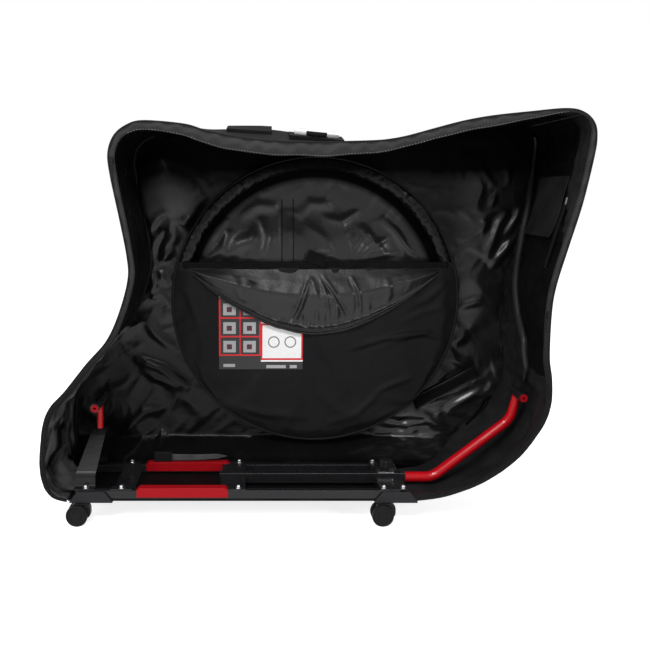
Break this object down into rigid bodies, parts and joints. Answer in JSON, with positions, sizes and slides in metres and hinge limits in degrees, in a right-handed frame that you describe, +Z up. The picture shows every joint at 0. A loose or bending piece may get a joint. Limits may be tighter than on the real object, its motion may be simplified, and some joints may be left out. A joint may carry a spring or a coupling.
{
  "type": "soft bike travel bag",
  "caption": "Soft travel bag for a bicycle, open along one side, on a castored base frame with a rear axle stand, a sliding fork support and a round wheel pocket.",
  "frame": {"origin": "on the floor under the middle of the overall length and depth", "axes": "+X from the bag's rear end to its front end, +Y from the open side to the back panel, +Z up"},
  "size_m": [1.2, 0.368, 0.9373],
  "materials": {
    "shell_fabric": "matte",
    "rim_tape": "matte",
    "lining_satin": "satin",
    "pocket_ripstop": "matte",
    "webbing": "matte",
    "grey_webbing": "matte",
    "grey_rod": "satin",
    "black_rubber": "matte",
    "card_print": "satin",
    "rail_black": "satin",
    "red_paint": "gloss",
    "red_plastic": "gloss",
    "plate_black": "matte",
    "steel": "satin",
    "hard_plastic": "matte",
    "wheel_rubber": "matte"
  },
  "bodies": {
    "bag": {"rear_gusset": "shell_fabric", "top_gusset": "shell_fabric", "front_gusset": "shell_fabric", "back_panel": "shell_fabric", "floor_panel": "shell_fabric", "zip_rim": "rim_tape", "pocket_ring": "pocket_ripstop", "pocket_front": "pocket_ripstop", "pocket_hem": "webbing", "pocket_valance": "lining_satin", "pocket_tab": "webbing", "instruction_card": "card_print", "top_pad": "black_rubber", "handle_base": "black_rubber", "handle_bracket_rear": "steel", "handle_bracket_front": "steel", "side_flap": "lining_satin", "stiffener_tunnel": "shell_fabric", "stiffener_rod": "grey_rod", "strap_loop": "webbing", "panel_strap": "webbing", "tie_strap": "grey_webbing", "tie_buckle": "hard_plastic", "near_rail": "rail_black", "far_rail": "rail_black", "near_rail_sleeve": "red_plastic", "far_rail_sleeve": "red_plastic", "rear_cross_member": "rail_black", "middle_cross_member": "rail_black", "front_cross_member": "rail_black", "rear_bridge": "rail_black", "rear_post": "red_paint", "rear_axle_sleeve": "rail_black", "rear_axle_cap_near": "red_plastic", "rear_axle_cap_far": "red_plastic", "clamp_plate": "steel", "castor_plate_rear": "plate_black", "castor_plate_front": "plate_black"},
    "castor_rear_near": {"castor_hood_rear_near": "hard_plastic"},
    "wheels_rear_near": {"castor_wheels_rear_near": "wheel_rubber"},
    "castor_rear_far": {"castor_hood_rear_far": "hard_plastic"},
    "wheels_rear_far": {"castor_wheels_rear_far": "wheel_rubber"},
    "castor_front_near": {"castor_hood_front_near": "hard_plastic"},
    "wheels_front_near": {"castor_wheels_front_near": "wheel_rubber"},
    "castor_front_far": {"castor_hood_front_far": "hard_plastic"},
    "wheels_front_far": {"castor_wheels_front_far": "wheel_rubber"},
    "fork_support": {"middle_tube": "rail_black", "fork_support": "red_paint", "fork_axle_sleeve": "rail_black", "fork_axle_cap_near": "red_plastic", "fork_axle_cap_far": "red_plastic"},
    "clamp_knob": {"clamp_knob": "hard_plastic"},
    "handle_grip": {"handle_grip": "black_rubber"},
    "zip_slider_rear": {"zip_slider_rear": "hard_plastic"},
    "zip_pull_rear": {"zip_pull_rear": "hard_plastic"},
    "zip_slider_front": {"zip_slider_front": "hard_plastic"},
    "zip_pull_front": {"zip_pull_front": "hard_plastic"}
  },
  "joints": [
    {"name": "castor_rear_near_swivel", "type": "hinge", "parent": "bag", "child": "castor_rear_near", "pos_m": [-0.524, -0.1195, 0.0522], "axis": [0, 0, 1], "continuous": true},
    {"name": "castor_rear_near_roll", "type": "hinge", "parent": "castor_rear_near", "child": "wheels_rear_near", "pos_m": [-0.532, -0.1195, 0.025], "axis": [0, 1, 0], "continuous": true},
    {"name": "castor_rear_far_swivel", "type": "hinge", "parent": "bag", "child": "castor_rear_far", "pos_m": [-0.524, 0.0905, 0.0522], "axis": [0, 0, 1], "continuous": true},
    {"name": "castor_rear_far_roll", "type": "hinge", "parent": "castor_rear_far", "child": "wheels_rear_far", "pos_m": [-0.532, 0.0905, 0.025], "axis": [0, 1, 0], "continuous": true},
    {"name": "castor_front_near_swivel", "type": "hinge", "parent": "bag", "child": "castor_front_near", "pos_m": [0.183, -0.1195, 0.0522], "axis": [0, 0, 1], "continuous": true},
    {"name": "castor_front_near_roll", "type": "hinge", "parent": "castor_front_near", "child": "wheels_front_near", "pos_m": [0.175, -0.1195, 0.025], "axis": [0, 1, 0], "continuous": true},
    {"name": "castor_front_far_swivel", "type": "hinge", "parent": "bag", "child": "castor_front_far", "pos_m": [0.183, 0.0905, 0.0522], "axis": [0, 0, 1], "continuous": true},
    {"name": "castor_front_far_roll", "type": "hinge", "parent": "castor_front_far", "child": "wheels_front_far", "pos_m": [0.175, 0.0905, 0.025], "axis": [0, 1, 0], "continuous": true},
    {"name": "fork_support_slide", "type": "slide", "parent": "bag", "child": "fork_support", "axis": [1, 0, 0], "range_m": [-0.035, 0]},
    {"name": "clamp_knob_turn", "type": "hinge", "parent": "bag", "child": "clamp_knob", "pos_m": [0.197, -0.0145, 0.0951], "axis": [0, 0, 1], "range_deg": [0, 720]},
    {"name": "handle_grip_lift", "type": "hinge", "parent": "bag", "child": "handle_grip", "pos_m": [0.01261, -0.11693, 0.89057], "axis": [-0.9955, 0, 0.0943], "range_deg": [0, 170]},
    {"name": "zip_slider_rear_run", "type": "slide", "parent": "bag", "child": "zip_slider_rear", "axis": [-0.1793, 0, 0.9838], "range_m": [-0.09, 0]},
    {"name": "zip_pull_rear_lift", "type": "hinge", "parent": "zip_slider_rear", "child": "zip_pull_rear", "pos_m": [-0.42537, -0.1812, 0.83024], "axis": [-0.9994, 0, -0.0342], "range_deg": [0, 170]},
    {"name": "zip_slider_front_run", "type": "slide", "parent": "bag", "child": "zip_slider_front", "axis": [0, 0, 1], "range_m": [-0.09, 0]},
    {"name": "zip_pull_front_lift", "type": "hinge", "parent": "zip_slider_front", "child": "zip_pull_front", "pos_m": [0.51759, -0.1812, 0.50021], "axis": [-0.9995, 0, 0.0313], "range_deg": [0, 170]}
  ]
}
